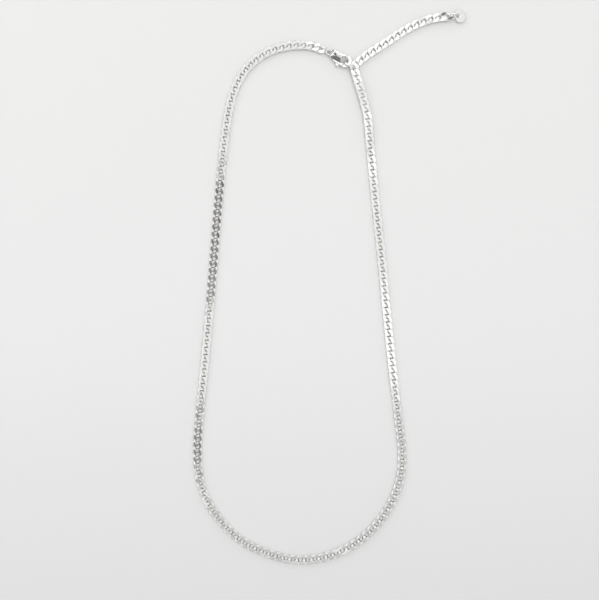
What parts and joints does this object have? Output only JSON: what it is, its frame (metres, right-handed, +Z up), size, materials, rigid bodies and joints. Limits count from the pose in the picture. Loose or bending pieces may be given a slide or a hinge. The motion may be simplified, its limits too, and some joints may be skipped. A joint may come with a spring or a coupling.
{
  "type": "curb chain necklace",
  "caption": "Silver curb chain necklace with a lobster clasp, a short extender of the same links and a small bare end tag, laid flat as a long open loop.",
  "frame": {"origin": "middle of the laid-out necklace on the surface that it lies on", "axes": "+X to the right across the loop, +Y along the loop towards the clasp, +Z up from the surface"},
  "size_m": [0.1013, 0.2057, 0.0041],
  "materials": {
    "chain_silver": "polished silver",
    "ring_silver": "polished silver",
    "clasp_silver": "polished silver",
    "tag_silver": "polished silver"
  },
  "bodies": {
    "necklace": {"neck_chain_left": "chain_silver", "neck_chain_right": "chain_silver", "extender_chain": "chain_silver", "clasp_ring": "ring_silver", "clasp_body": "clasp_silver", "clasp_pin": "clasp_silver", "end_ring": "ring_silver", "tag_ring": "ring_silver", "end_tag": "tag_silver"},
    "lever": {"clasp_lever": "clasp_silver"}
  },
  "joints": [
    {"name": "lever_hinge", "type": "hinge", "parent": "necklace", "child": "lever", "pos_m": [0.00305, 0.08593, 0.0016], "axis": [0, 0, 1], "range_deg": [-32, 0], "stiffness_Nm_per_rad": 0.001, "springref_deg": 14.32}
  ]
}
